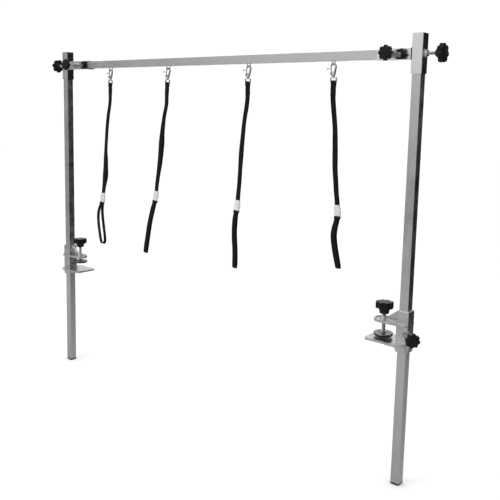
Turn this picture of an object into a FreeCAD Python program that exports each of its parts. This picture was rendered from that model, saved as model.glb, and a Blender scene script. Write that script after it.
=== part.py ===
import FreeCAD, Part
import math
import os

# Overhead H-frame for a pet grooming table: two square posts in table clamps,
# a crossbar between them, and four webbing loops hanging on snap hooks.
#
# All sizes are in millimetres. X runs along the crossbar from the left post to
# the right post, -Y faces the groomer and +Z is up. The origin is the middle of
# the right clamp's lower jaw face, straight below its clamping screw.

os.makedirs("parts", exist_ok=True)

V = FreeCAD.Vector
UP = V(0, 0, 1)
NODES = {}

# ---- driving dimensions -------------------------------------------------------

TUBE = 25.0            # outside width of the posts and the crossbar
TUBE_WALL = 1.5
SLEEVE = 30.0          # outside width of the head and crossbar sleeves
BORE = 25.2            # square bore that a tube slides in, 0.1 mm clear a side
POST_SPAN = 1438.0     # between the axes of the two posts
POST_X = 62.5          # right post axis, measured from the clamping screw

FOOT_Z = -398.0        # underside of the foot plugs
HEAD_TOP_Z = 798.0     # top of the head sleeves
HEAD_HEIGHT = 100.0
BAR_Z = 748.0          # crossbar axis, half way up the heads
POST_TOP_GAP = 8.0     # the post stops this far below the top of its head

BAR_SLEEVE_GAP = 2.0   # between a head and the end of its crossbar sleeve
BAR_SLEEVE_RIGHT = 96.0
BAR_SLEEVE_LEFT = 118.0
BAR_END_INSET = 30.0   # from a post axis to the end of the crossbar

CLAMP_WIDTH = 34.4     # square body of the casting
CLAMP_BOTTOM = -26.0
CLAMP_TOP = 86.0
CLAMP_DROP_LEFT = 23.0     # the left clamp sits this much lower on its post
SCREW_RAISE_LEFT = 21.0    # and its screw stands this much further out
JAW_REACH = 100.0      # post axis to the free edge of the lower jaw
JAW_HALF = 40.0
JAW_THICK = 6.0
ARM_LOW = 45.5         # upper arm that carries the clamping screw
ARM_THICK = 7.0
ARM_RADIUS = 26.5
ARM_RIM = 2.0          # height of the raised rim round the arm
LOCK_Z = 24.0          # height of the lock that grips the post

CLAMP_SCREW_R = 5.0    # M10
LOCK_SCREW_R = 4.0     # M8
RUN = 0.05             # radial running clearance

WEBBING = 15.0         # width of the loop webbing
LAYER = 1.6            # thickness of one layer of it
DOUBLED = 3.4          # two layers lying together


# ---- helpers --------------------------------------------------------------------

def box(x0, x1, y0, y1, z0, z1):
    return Part.makeBox(x1 - x0, y1 - y0, z1 - z0, V(x0, y0, z0))


def rod(radius, start, direction, length):
    return Part.makeCylinder(radius, length, start, direction)


def long_edges(shape, axis):
    """Straight edges of a shape that run along one axis."""
    found = []
    for edge in shape.Edges:
        if not isinstance(edge.Curve, Part.Line):
            continue
        step = edge.Vertexes[-1].Point - edge.Vertexes[0].Point
        if step.Length > 1.0 and abs(step.dot(axis)) > 0.999 * step.Length:
            found.append(edge)
    return found


def edges_at(shape, z):
    """Edges of a shape that lie flat at one height."""
    return [e for e in shape.Edges
            if abs(e.BoundBox.ZMin - z) < 0.001 and abs(e.BoundBox.ZMax - z) < 0.001]


def square_tube(width, inside, start, length, axis, corner):
    """Square tube whose centre line starts at a point and runs along an axis."""
    half = width / 2.0
    outer = Part.makeBox(width, width, length, V(-half, -half, 0))
    outer = outer.makeFillet(corner, long_edges(outer, UP))
    hole = inside / 2.0
    outer = outer.cut(Part.makeBox(inside, inside, length, V(-hole, -hole, 0)))
    outer.Placement = FreeCAD.Placement(start, FreeCAD.Rotation(UP, axis))
    return outer


def prism(outline, normal_shift):
    """Flat plate from a closed list of corner points, swept by a vector."""
    wire = Part.makePolygon(outline + [outline[0]])
    return Part.Face(wire).extrude(normal_shift)


def moved(shape, shift):
    result = shape.copy()
    result.translate(shift)
    return result


def turned(shape, centre, axis, degrees):
    result = shape.copy()
    result.rotate(centre, axis, degrees)
    return result


def save(name, shape):
    NODES[name] = shape.removeSplitter() if len(shape.Solids) == 1 else shape


# ---- star knobs and lock screws ---------------------------------------------------

def star_knob(diameter, lobes, rim, hub_r, hub, bore_r, bore_depth):
    """Star knob standing on z = 0: the hub first, then the lobed rim above it."""
    radius = diameter / 2.0
    top = hub + rim
    soft = 2.0
    flare = hub_r * 1.3
    profile = Part.Wire([
        Part.LineSegment(V(0, 0, 0), V(hub_r, 0, 0)).toShape(),
        Part.LineSegment(V(hub_r, 0, 0), V(flare, 0, hub)).toShape(),
        Part.LineSegment(V(flare, 0, hub), V(radius - soft, 0, hub)).toShape(),
        Part.Arc(V(radius - soft, 0, hub), V(radius - 0.6, 0, hub + 0.6),
                 V(radius, 0, hub + soft)).toShape(),
        Part.LineSegment(V(radius, 0, hub + soft), V(radius, 0, top - soft)).toShape(),
        Part.Arc(V(radius, 0, top - soft), V(radius - 0.6, 0, top - 0.6),
                 V(radius - soft, 0, top)).toShape(),
        Part.LineSegment(V(radius - soft, 0, top), V(0, 0, top)).toShape(),
        Part.LineSegment(V(0, 0, top), V(0, 0, 0)).toShape(),
    ])
    knob = Part.Face(profile).revolve(V(0, 0, 0), UP, 360)
    notch_r = math.pi * radius / lobes * 0.62
    for i in range(lobes):
        angle = 2.0 * math.pi * (i + 0.5) / lobes
        reach = radius + notch_r * 0.35
        spot = V(reach * math.cos(angle), reach * math.sin(angle), hub - 1.0)
        knob = knob.cut(Part.makeCylinder(notch_r, rim + 2.0, spot))
    return knob.cut(Part.makeCylinder(bore_r, bore_depth, V(0, 0, 0)))


def aimed(shape, start, direction):
    """Copy of a shape built along +Z, moved to a point and aimed another way."""
    result = shape.copy()
    result.Placement = FreeCAD.Placement(start, FreeCAD.Rotation(UP, direction))
    return result


def lock_set(tip, direction, hub_at, knob, knob_bore):
    """Stud and knob of one lock: the stud runs from its tip into the knob."""
    length = hub_at + knob_bore - 1.0
    stud = rod(LOCK_SCREW_R, tip, direction, length)
    stud = stud.makeChamfer(0.8, [e for e in stud.Edges if e.Length < 30.0][:1])
    handle = aimed(knob, tip + direction * hub_at, direction)
    return stud, handle


BIG_KNOB = star_knob(48.0, 7, 14.0, 9.0, 9.0, LOCK_SCREW_R, 16.0)
SMALL_KNOB = star_knob(39.5, 8, 12.0, 8.5, 7.0, LOCK_SCREW_R, 13.0)
CLAMP_LOCK_KNOB = star_knob(39.0, 8, 13.0, 8.5, 7.0, LOCK_SCREW_R, 14.0)
CLAMP_KNOB = star_knob(48.6, 8, 18.0, 12.5, 14.0, CLAMP_SCREW_R, 22.0)


# ---- table clamp --------------------------------------------------------------------

def clamp_casting():
    """Casting around the post axis at x = 0, with its jaw reaching to -X."""
    half = CLAMP_WIDTH / 2.0
    body = box(-half, half, -half, half, CLAMP_BOTTOM, CLAMP_TOP)
    body = body.makeFillet(2.0, long_edges(body, UP))
    body = body.makeChamfer(1.2, edges_at(body, CLAMP_TOP))

    # Lower jaw: a wide plate that swells out round the front and back of the body.
    left = -JAW_REACH
    corner = 9.0
    side = JAW_HALF
    edge_x = -40.0
    start = V(left, -side + corner, -JAW_THICK)
    cut = corner * (1.0 - math.sqrt(0.5))
    edges = [
        Part.Arc(start, V(left + cut, -side + cut, -JAW_THICK),
                 V(left + corner, -side, -JAW_THICK)).toShape(),
        Part.LineSegment(V(left + corner, -side, -JAW_THICK),
                         V(edge_x, -side, -JAW_THICK)).toShape(),
        Part.Arc(V(edge_x, -side, -JAW_THICK), V(-11.0, -43.0, -JAW_THICK),
                 V(17.0, -17.0, -JAW_THICK)).toShape(),
        Part.LineSegment(V(17.0, -17.0, -JAW_THICK),
                         V(17.0, 17.0, -JAW_THICK)).toShape(),
        Part.Arc(V(17.0, 17.0, -JAW_THICK), V(-11.0, 43.0, -JAW_THICK),
                 V(edge_x, side, -JAW_THICK)).toShape(),
        Part.LineSegment(V(edge_x, side, -JAW_THICK),
                         V(left + corner, side, -JAW_THICK)).toShape(),
        Part.Arc(V(left + corner, side, -JAW_THICK),
                 V(left + cut, side - cut, -JAW_THICK),
                 V(left, side - corner, -JAW_THICK)).toShape(),
        Part.LineSegment(V(left, side - corner, -JAW_THICK), start).toShape(),
    ]
    jaw = Part.Face(Part.Wire(edges)).extrude(V(0, 0, JAW_THICK))

    # Rib under the jaw, hollowed towards the body.
    depth = -CLAMP_BOTTOM - JAW_THICK - 2.0
    curve = []
    for i in range(8):
        share = i / 7.0
        drop = depth * (1.0 - share) ** 2.2
        curve.append(V(-half - 38.0 * share, -12.0, -JAW_THICK - drop))
    rib = prism(curve + [V(-half - 38.0, -12.0, -JAW_THICK + 1.0),
                         V(-half + 2.0, -12.0, -JAW_THICK + 1.0),
                         V(-half + 2.0, -12.0, -JAW_THICK - depth)], V(0, 24.0, 0))

    # Upper arm with a round end and a raised rim, which runs on along the front and
    # back of the body as a ledge, and the boss that the clamping screw turns in.
    corners = [V(-POST_X, -ARM_RADIUS, ARM_LOW), V(12.0, -25.5, ARM_LOW),
               V(17.0, -18.0, ARM_LOW), V(17.0, 18.0, ARM_LOW),
               V(12.0, 25.5, ARM_LOW), V(-POST_X, ARM_RADIUS, ARM_LOW)]
    edges = [Part.LineSegment(p, q).toShape() for p, q in zip(corners, corners[1:])]
    edges.append(Part.Arc(corners[-1], V(-POST_X - ARM_RADIUS, 0, ARM_LOW),
                          corners[0]).toShape())
    plate = Part.Face(Part.Wire(edges))
    arm_top = ARM_LOW + ARM_THICK
    arm = plate.extrude(V(0, 0, ARM_THICK))
    floor_z = arm_top - ARM_RIM
    pocket = moved(plate.makeOffset2D(-3.5), V(0, 0, floor_z - ARM_LOW))
    pocket = pocket.extrude(V(0, 0, ARM_RIM + 1.0))
    pocket = pocket.common(box(-100.0, -half + 1.0, -40.0, 40.0, 0.0, 100.0))
    arm = arm.cut(pocket)
    boss = Part.makeCone(11.5, 8.5, 7.0 + ARM_RIM, V(-POST_X, 0, floor_z))
    under = Part.makeCylinder(10.0, 2.0, V(-POST_X, 0, ARM_LOW - 2.0))

    # Upright web between the body and the arm.
    foot = floor_z - 1.0
    web = prism([V(-half + 2.0, -5.0, CLAMP_TOP - 2.0), V(-half + 2.0, -5.0, foot),
                 V(-POST_X + 4.0, -5.0, foot), V(-POST_X + 7.0, -5.0, arm_top + 3.0),
                 V(-half, -5.0, CLAMP_TOP - 2.0)], V(0, 10.0, 0))

    # Boss across the front outer corner for the screw that locks the post.
    aim = V(1, -1, 0).normalize()
    lock = rod(10.5, V(0, 0, LOCK_Z) + aim * 16.0, aim, 31.0)
    keel = prism([aim * 18.0 + V(0, 0, -24.0), aim * 24.0 + V(0, 0, -22.0),
                  aim * 30.0 + V(0, 0, -4.0), aim * 45.0 + V(0, 0, LOCK_Z - 8.0),
                  aim * 45.0 + V(0, 0, LOCK_Z),
                  aim * 18.0 + V(0, 0, LOCK_Z)], V(1, 1, 0).normalize() * 8.0)
    keel = moved(keel, V(-1, -1, 0).normalize() * 4.0)

    solid = body
    for piece in (jaw, rib, arm, boss, under, web, lock, keel):
        solid = solid.fuse(piece)
    inner = BORE / 2.0
    solid = solid.cut(box(-inner, inner, -inner, inner, CLAMP_BOTTOM - 1, CLAMP_TOP + 1))
    solid = solid.cut(rod(CLAMP_SCREW_R + RUN, V(-POST_X, 0, ARM_LOW - 5), UP, 30))
    solid = solid.cut(rod(LOCK_SCREW_R + RUN, V(0, 0, LOCK_Z), aim, 60))
    return solid.removeSplitter()


def clamp_set(side, place):
    """One complete clamp. place() carries it from the right post to its own."""
    raise_by = SCREW_RAISE_LEFT if side == "left" else 0.0
    screw_x = -POST_X
    save("clamp_casting_" + side, place(clamp_casting()))

    # Pressure disc: rubber pad, dished metal disc and the hub the screw turns in.
    low = 5.0 + raise_by
    pad = Part.makeCylinder(25.0, 5.0, V(screw_x, 0, low))
    pad = pad.makeFillet(1.5, [pad.Edges[2]] if pad.Edges[2].Curve.Center.z < low + 1
                         else [pad.Edges[0]])
    save("pressure_pad_" + side, place(pad))
    disc = Part.makeCone(26.5, 25.5, 3.0, V(screw_x, 0, low + 5.0))
    disc = disc.cut(Part.makeCylinder(14.0, 3.0, V(screw_x, 0, low + 7.0)))
    hub = Part.makeCone(8.5, 7.0, 4.0, V(screw_x, 0, low + 7.0))
    disc = disc.fuse(hub).removeSplitter()
    disc = disc.cut(rod(CLAMP_SCREW_R + RUN, V(screw_x, 0, low + 7.0), UP, 12.0))
    save("pressure_disc_" + side, place(disc))

    screw_low = low + 7.0 + RUN
    hub_at = 66.0 + raise_by
    screw = rod(CLAMP_SCREW_R, V(screw_x, 0, screw_low), UP, hub_at + 20.0 - screw_low)
    save("clamp_screw_" + side, place(screw))
    save("clamp_knob_" + side, place(moved(CLAMP_KNOB, V(screw_x, 0, hub_at))))

    # Lock screw across the corner: it bears on the corner of the square post.
    aim = V(1, -1, 0).normalize()
    corner = (TUBE / 2.0 - 1.0) * math.sqrt(2.0) + 1.0 + RUN
    tip = V(0, 0, LOCK_Z) + aim * corner
    stud, handle = lock_set(tip, aim, 53.0 - corner, CLAMP_LOCK_KNOB, 14.0)
    save("clamp_lock_screw_" + side, place(stud))
    save("clamp_lock_knob_" + side, place(handle))


# ---- posts and heads --------------------------------------------------------------------

def post_set(side, post_x):
    low = FOOT_Z + 4.0
    top = HEAD_TOP_Z - POST_TOP_GAP
    inside = TUBE - 2 * TUBE_WALL
    save("post_" + side, square_tube(TUBE, inside, V(post_x, 0, low), top - low, UP, 1.0))
    half = TUBE / 2.0
    flange = box(post_x - half, post_x + half, -half, half, FOOT_Z, low)
    flange = flange.makeFillet(1.0, long_edges(flange, UP))
    grip = inside / 2.0 - 0.02
    stem = box(post_x - grip, post_x + grip, -grip, grip, low, low + 18.0)
    save("post_foot_plug_" + side, flange.fuse(stem).removeSplitter())


def head_set(side, post_x, out, sleeve_length):
    """Head sleeve, crossbar sleeve and their locks; out is +1 right, -1 left."""
    half = SLEEVE / 2.0
    low = HEAD_TOP_Z - HEAD_HEIGHT
    away = V(out, 0, 0)
    front = V(0, -1, 0)
    centre = V(post_x, 0, BAR_Z)
    screw_hole = LOCK_SCREW_R + RUN

    head = square_tube(SLEEVE, BORE, V(post_x, 0, low), HEAD_HEIGHT, UP, 1.5)
    head = head.cut(rod(screw_hole, centre, away, 40.0))
    save("head_sleeve_" + side, head)

    # Crossbar sleeve with a closed end, carried on a short round spigot.
    near = half + BAR_SLEEVE_GAP
    mouth = centre - away * (near + sleeve_length)
    sleeve = square_tube(SLEEVE, BORE, mouth, sleeve_length - 2.5, away, 1.5)
    end = box(-half, half, -half, half, 0, 2.5)
    end = end.makeFillet(1.5, long_edges(end, UP))
    end = aimed(end, centre - away * (near + 2.5), away)
    spigot = rod(6.0, centre - away * near, away, BAR_SLEEVE_GAP)
    lock_spot = centre - away * (POST_X + 2.0)
    sleeve = sleeve.fuse(end).fuse(spigot).removeSplitter()
    sleeve = sleeve.cut(rod(screw_hole, lock_spot, front, 40.0))
    save("bar_sleeve_" + side, sleeve)

    # Round weld nuts for the two lock screws.
    head_nut = Part.makeCone(9.5, 8.0, 8.0).cut(Part.makeCylinder(screw_hole, 8.0))
    bar_nut = Part.makeCone(9.0, 7.5, 8.0).cut(Part.makeCylinder(screw_hole, 8.0))
    nuts = Part.makeCompound([
        aimed(head_nut, centre + away * half, away),
        aimed(bar_nut, lock_spot + front * half, front),
    ])
    save("weld_nuts_" + side, nuts)

    reach = TUBE / 2.0 + RUN
    stud, handle = lock_set(centre + away * reach, away, 45.0 - reach, BIG_KNOB, 16.0)
    save("head_lock_screw_" + side, stud)
    save("head_lock_knob_" + side, handle)
    stud, handle = lock_set(lock_spot + front * reach, front, 44.0 - reach, SMALL_KNOB, 13.0)
    save("bar_lock_screw_" + side, stud)
    save("bar_lock_knob_" + side, handle)


# ---- crossbar with its four eyes -----------------------------------------------------------

BAR_UNDER = BAR_Z - TUBE / 2.0
EYE_X = [-1127.5, -835.5, -491.5, -191.5]
EYE_WIRE = 1.5
EYE_HALF = 7.0
EYE_DROP = 9.5         # bar underside to the centre of the eye's lowest wire


def eye(x):
    """Staple eye across the bar: two legs and a straight bottom, round corners."""
    bend = 3.0
    low = BAR_UNDER - EYE_DROP
    cut = bend * (1.0 - math.sqrt(0.5))
    path = Part.Wire([
        Part.LineSegment(V(x, -EYE_HALF, BAR_UNDER), V(x, -EYE_HALF, low + bend)).toShape(),
        Part.Arc(V(x, -EYE_HALF, low + bend), V(x, -EYE_HALF + cut, low + cut),
                 V(x, -EYE_HALF + bend, low)).toShape(),
        Part.LineSegment(V(x, -EYE_HALF + bend, low), V(x, EYE_HALF - bend, low)).toShape(),
        Part.Arc(V(x, EYE_HALF - bend, low), V(x, EYE_HALF - cut, low + cut),
                 V(x, EYE_HALF, low + bend)).toShape(),
        Part.LineSegment(V(x, EYE_HALF, low + bend), V(x, EYE_HALF, BAR_UNDER)).toShape(),
    ])
    ring = Part.Wire([Part.makeCircle(EYE_WIRE, V(x, -EYE_HALF, BAR_UNDER), UP)])
    return path.makePipeShell([ring], True, False)


def crossbar_set():
    left = POST_X - POST_SPAN + BAR_END_INSET
    length = POST_SPAN - 2 * BAR_END_INSET
    inside = TUBE - 2 * TUBE_WALL
    save("crossbar", square_tube(TUBE, inside, V(left, 0, BAR_Z), length, V(1, 0, 0), 1.0))
    save("bar_eyes", Part.makeCompound([eye(x) for x in EYE_X]))


# ---- snap hooks -------------------------------------------------------------------------------

RING_R = 7.5           # centre line of the hook's arch
HOOK_WIRE = 2.0
ARCH_Z = -3.9          # centre of the arch, below the centre of the eye's wire
SWIVEL_BAR_Z = -45.8   # centre of the swivel eye's lower bar, from the same point


def snap_hook():
    """Hook body hanging from the origin, its arch in the XZ plane."""
    arch = Part.Wire([
        Part.LineSegment(V(RING_R, 0, ARCH_Z - 16.0), V(RING_R, 0, ARCH_Z)).toShape(),
        Part.Arc(V(RING_R, 0, ARCH_Z), V(0, 0, ARCH_Z + RING_R),
                 V(-RING_R, 0, ARCH_Z)).toShape(),
    ])
    start = Part.Wire([Part.makeCircle(HOOK_WIRE, V(RING_R, 0, ARCH_Z - 16.0), UP)])
    hook = arch.makePipeShell([start], True, False)
    top = ARCH_Z - 14.0
    shoulder = prism([V(-11.0, -3.5, top), V(10.5, -3.5, top), V(10.5, -3.5, top - 4.0),
                      V(5.0, -3.5, top - 10.0), V(-5.0, -3.5, top - 10.0),
                      V(-11.0, -3.5, top - 4.0)], V(0, 7.0, 0))
    barrel = rod(4.5, V(0, 0, top - 15.0), UP, 8.0)
    body = hook.fuse(shoulder).fuse(barrel)
    body = body.cut(rod(1.65, V(-RING_R, 0, top - 12.0), UP, 13.0))
    body = body.cut(rod(2.45, V(0, 0, top - 16.0), UP, 8.0))
    return body.removeSplitter()


def snap_bolt():
    """Sliding bolt that closes the hook, with the thumb stub that pulls it down."""
    top = ARCH_Z - 0.3
    pin = rod(1.6, V(-RING_R, 0, top - 18.0), UP, 18.0)
    stub = rod(1.3, V(-RING_R, 0, top - 6.0), V(-1, 0, 0), 12.0)
    pad = rod(2.0, V(-RING_R - 11.0, 0, top - 6.0), V(-1, 0, 0), 2.5)
    return pin.fuse(stub).fuse(pad).removeSplitter()


def swivel_eye():
    """Square eye that the webbing is sewn through, on its own swivel pin."""
    low = SWIVEL_BAR_Z - 1.4
    frame = box(-10.5, 10.5, -1.6, 1.6, low, low + 13.6)
    frame = frame.makeFillet(1.2, long_edges(frame, V(0, 1, 0)))
    frame = frame.cut(box(-8.0, 8.0, -2.0, 2.0, low + 2.8, low + 11.0))
    pin = rod(2.4, V(0, 0, low + 13.0), UP, 6.0)
    return frame.fuse(pin).removeSplitter()


# ---- webbing -------------------------------------------------------------------------------------

def rounded_route(points, label):
    """Straight runs joined by tangent arcs; points are (y, z) pairs."""
    spots = [V(0, y, z) for y, z in points]
    edges = []
    at = spots[0]
    radii = []
    length = 0.0
    for before, here, after in zip(spots, spots[1:], spots[2:]):
        into = (here - before)
        out = (after - here)
        shorter = min(into.Length, out.Length)
        into = into.normalize()
        out = out.normalize()
        turn = into.getAngle(out)
        radius = 0.45 * shorter / math.tan(turn / 2.0)
        trim = 0.45 * shorter
        start = here - into * trim
        end = here + out * trim
        bisector = (out - into).normalize()
        middle = here + bisector * (radius / math.cos(turn / 2.0) - radius)
        edges.append(Part.LineSegment(at, start).toShape())
        edges.append(Part.Arc(start, middle, end).toShape())
        length += (start - at).Length + radius * turn
        radii.append(radius)
        at = end
    edges.append(Part.LineSegment(at, spots[-1]).toShape())
    length += (spots[-1] - at).Length
    print(label, "length %.0f" % length, "radii", " ".join("%.0f" % r for r in radii))
    return Part.Wire(edges), length


def ribbon(points, thickness, label):
    """Webbing of one width along X that follows a route in the YZ plane."""
    wire, length = rounded_route(points, label)
    first = V(0, points[0][0], points[0][1])
    ahead = (V(0, points[1][0], points[1][1]) - first).normalize()
    across = V(0, -ahead.z, ahead.y) * (thickness / 2.0)
    side = V(WEBBING / 2.0, 0, 0)
    outline = [first - side - across, first + side - across,
               first + side + across, first - side + across]
    profile = Part.makePolygon(outline + [outline[0]])
    sweep = Part.BRepOffsetAPI.MakePipeShell(wire)
    sweep.setBiNormalMode(V(1, 0, 0))
    sweep.add(profile)
    sweep.build()
    sweep.makeSolid()
    solid = sweep.shape()
    section = WEBBING * thickness
    print(label, "volume over section x length %.4f" % (solid.Volume / (section * length)))
    return solid


# Each loop: how far it leans along X for each millimetre of drop, the route of
# the doubled webbing down to its slider, and the centre line and half opening of
# the noose below. Routes are (y, z) from the swivel eye's lower bar.
LOOPS = [
    {"lean": 0.07,
     "strap": [(0, -4), (2, -36), (2, -70), (-5, -120), (-7, -175), (-9, -240),
               (-5, -300), (-5, -340), (-10, -372), (-12, -394)],
     "noose": [(-15, -427, 1.5), (-19, -440, 5), (-23, -464, 9), (-18, -505, 11),
               (-9, -550, 11), (-5, -572, 10), (-4, -585, 6)]},
    {"lean": 0.09,
     "strap": [(0, -4), (0, -36), (3, -70), (-5, -108), (-8, -165), (-8, -230),
               (-11, -285), (-15, -325), (-17, -348), (-17, -362)],
     "noose": [(-20, -394, 1.5), (-23, -406, 3), (-30, -430, 4), (-39, -475, 4),
               (-44, -525, 4), (-47, -560, 4), (-48, -574, 3)]},
    {"lean": 0.06,
     "strap": [(0, -4), (4, -36), (3, -70), (-4, -108), (-7, -165), (-9, -230),
               (-8, -290), (-9, -325), (-10, -345), (-10, -358)],
     "noose": [(-13, -390, 1.5), (-16, -402, 3), (-18, -425, 4), (-16, -470, 4),
               (-7, -515, 4), (-4, -562, 4), (-4, -575, 3)]},
    {"lean": -0.04,
     "strap": [(0, -4), (-3, -36), (1, -70), (8, -108), (10, -165), (10, -230),
               (15, -285), (18, -313), (21, -329), (22, -341)],
     "noose": [(24, -373, 1.5), (20, -386, 3), (9, -405, 4), (4, -430, 4.5),
               (12, -468, 5), (24, -504, 5), (29, -524, 3)]},
]


def noose_route(rows):
    """Down the front of the noose, across the bottom and back up behind."""
    front = [(y - half, z) for y, z, half in rows]
    back = [(y + half, z) for y, z, half in rows]
    return front + back[::-1]


def slider_between(top, bottom):
    """Spring slider on the webbing between two (y, z) points of its route."""
    high = V(0, top[0], top[1])
    low = V(0, bottom[0], bottom[1])
    axis = high - low
    length = axis.Length
    shell = box(-9.5, 9.5, -4.5, 4.5, 0, length - 8.0)
    shell = shell.makeFillet(2.0, long_edges(shell, UP))
    neck = box(-8.5, 8.5, -3.5, 3.5, length - 8.0, length)
    neck = neck.makeFillet(1.5, long_edges(neck, UP))
    button = rod(3.0, V(9.0, 0, (length - 8.0) * 0.6), V(1, 0, 0), 2.5)
    cam = box(-6.5, 6.5, -6.0, -4.0, 4.0, length - 14.0)
    slider = shell.fuse(neck).fuse(button).fuse(cam).removeSplitter()
    return aimed(slider, low, axis.normalize())


def loop_set(number, eye_x, loop):
    """One complete grooming loop, hung from the eye at eye_x."""
    name = "_%d" % number
    pivot = V(0, 0, SWIVEL_BAR_Z)
    fold = rod(2.45 + LAYER, V(-WEBBING / 2.0, 0, 0), V(1, 0, 0), WEBBING)
    sewn = box(-WEBBING / 2.0, WEBBING / 2.0, -2.6, 2.6, -34.0, 0)
    first = loop["strap"][1]
    sewn = turned(sewn, V(0, 0, 0), V(1, 0, 0),
                  math.degrees(math.atan2(first[0], -first[1])))
    strap = ribbon(loop["strap"], DOUBLED, "strap" + name)
    strap = strap.fuse(fold).fuse(sewn).removeSplitter()
    strap = strap.cut(rod(2.45, V(-WEBBING, 0, 0), V(1, 0, 0), 2 * WEBBING))
    noose = ribbon(noose_route(loop["noose"]), LAYER, "noose" + name)
    last = loop["strap"][-1]
    begin = loop["noose"][0]
    slider = slider_between(last, (begin[0], begin[1]))

    pieces = {
        "snap_hook": snap_hook(),
        "snap_bolt": snap_bolt(),
        "swivel_eye": swivel_eye(),
        "strap": moved(strap, pivot),
        "strap_slider": moved(slider, pivot),
        "noose": moved(noose, pivot),
    }
    hang = V(eye_x, 0, BAR_UNDER - EYE_DROP)
    tilt = math.degrees(math.atan(loop["lean"]))
    for piece, shape in pieces.items():
        leaning = turned(shape, V(0, 0, 0), V(0, 1, 0), tilt)
        save(piece + name, moved(leaning, hang))


# ---- assembly ---------------------------------------------------------------------------------------

RIGHT_X = POST_X
LEFT_X = POST_X - POST_SPAN


def on_right_post(shape):
    return moved(shape, V(RIGHT_X, 0, 0))


def on_left_post(shape):
    half_turned = turned(shape, V(0, 0, 0), UP, 180.0)
    return moved(half_turned, V(LEFT_X, 0, -CLAMP_DROP_LEFT))


clamp_set("right", on_right_post)
clamp_set("left", on_left_post)
post_set("right", RIGHT_X)
post_set("left", LEFT_X)
head_set("right", RIGHT_X, 1, BAR_SLEEVE_RIGHT)
head_set("left", LEFT_X, -1, BAR_SLEEVE_LEFT)
crossbar_set()
for index, loop in enumerate(LOOPS):
    loop_set(index + 1, EYE_X[index], loop)

for name, shape in NODES.items():
    shape.exportStep("parts/%s.step" % name)
    print("%-24s solids %d valid %s volume %.0f" %
          (name, len(shape.Solids), shape.isValid(), shape.Volume))
print("nodes", len(NODES))
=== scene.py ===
import math

import bpy
from mathutils import Matrix, Vector


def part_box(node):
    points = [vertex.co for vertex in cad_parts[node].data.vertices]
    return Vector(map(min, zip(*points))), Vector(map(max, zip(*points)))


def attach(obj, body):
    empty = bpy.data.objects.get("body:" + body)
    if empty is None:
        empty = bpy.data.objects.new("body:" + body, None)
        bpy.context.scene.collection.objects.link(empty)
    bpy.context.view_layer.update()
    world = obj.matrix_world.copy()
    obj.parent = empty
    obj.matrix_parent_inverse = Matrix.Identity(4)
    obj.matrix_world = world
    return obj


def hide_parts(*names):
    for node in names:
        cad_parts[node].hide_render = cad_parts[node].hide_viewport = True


# Overhead frame for a pet grooming table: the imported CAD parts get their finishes, and
# the webbing loops, threads, weld beads and knob details are built around them.
# Everything is in metres in the part's own frame: X along the crossbar, +Z up.

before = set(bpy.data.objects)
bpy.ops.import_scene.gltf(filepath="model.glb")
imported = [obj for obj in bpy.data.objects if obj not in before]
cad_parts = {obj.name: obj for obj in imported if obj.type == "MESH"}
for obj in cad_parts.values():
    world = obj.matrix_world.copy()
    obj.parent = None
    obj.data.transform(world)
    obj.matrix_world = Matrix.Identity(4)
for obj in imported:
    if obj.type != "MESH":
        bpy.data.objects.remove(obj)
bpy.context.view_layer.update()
MM = 0.001
UP = Vector((0, 0, 1))
FRONT = Vector((0, -1, 0))

# ---- camera ------------------------------------------------------------------------------

CAMERA_AT = Vector((0.8921, -1.6733, 0.5974))
CAMERA_YAW = math.radians(39.238)      # left of straight back
CAMERA_PITCH = math.radians(7.991)     # downwards
CAMERA_ROLL = math.radians(-1.303)
FOCAL_WIDTHS = 1.42366                 # focal length over the picture's width
SENSOR_MM = 36.0
SHIFT_DOWN = -0.0792                   # share of the picture's width


def make_camera():
    """Camera at its place, turned by yaw, pitch and roll."""
    forward = Vector((-math.sin(CAMERA_YAW) * math.cos(CAMERA_PITCH),
                      math.cos(CAMERA_YAW) * math.cos(CAMERA_PITCH),
                      -math.sin(CAMERA_PITCH)))
    right = Vector((math.cos(CAMERA_YAW), math.sin(CAMERA_YAW), 0.0))
    down = forward.cross(right)
    c, s = math.cos(CAMERA_ROLL), math.sin(CAMERA_ROLL)
    right, down = right * c + down * s, down * c - right * s
    data = bpy.data.cameras.new("camera")
    data.sensor_width = SENSOR_MM
    data.lens = SENSOR_MM * FOCAL_WIDTHS
    data.shift_y = SHIFT_DOWN
    data.clip_start, data.clip_end = 0.05, 50.0
    obj = bpy.data.objects.new("camera", data)
    bpy.context.scene.collection.objects.link(obj)
    turn = Matrix((right, -down, -forward)).transposed().to_4x4()
    obj.matrix_world = Matrix.Translation(CAMERA_AT) @ turn
    bpy.context.scene.camera = obj


make_camera()

# ---- materials ---------------------------------------------------------------------------


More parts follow.
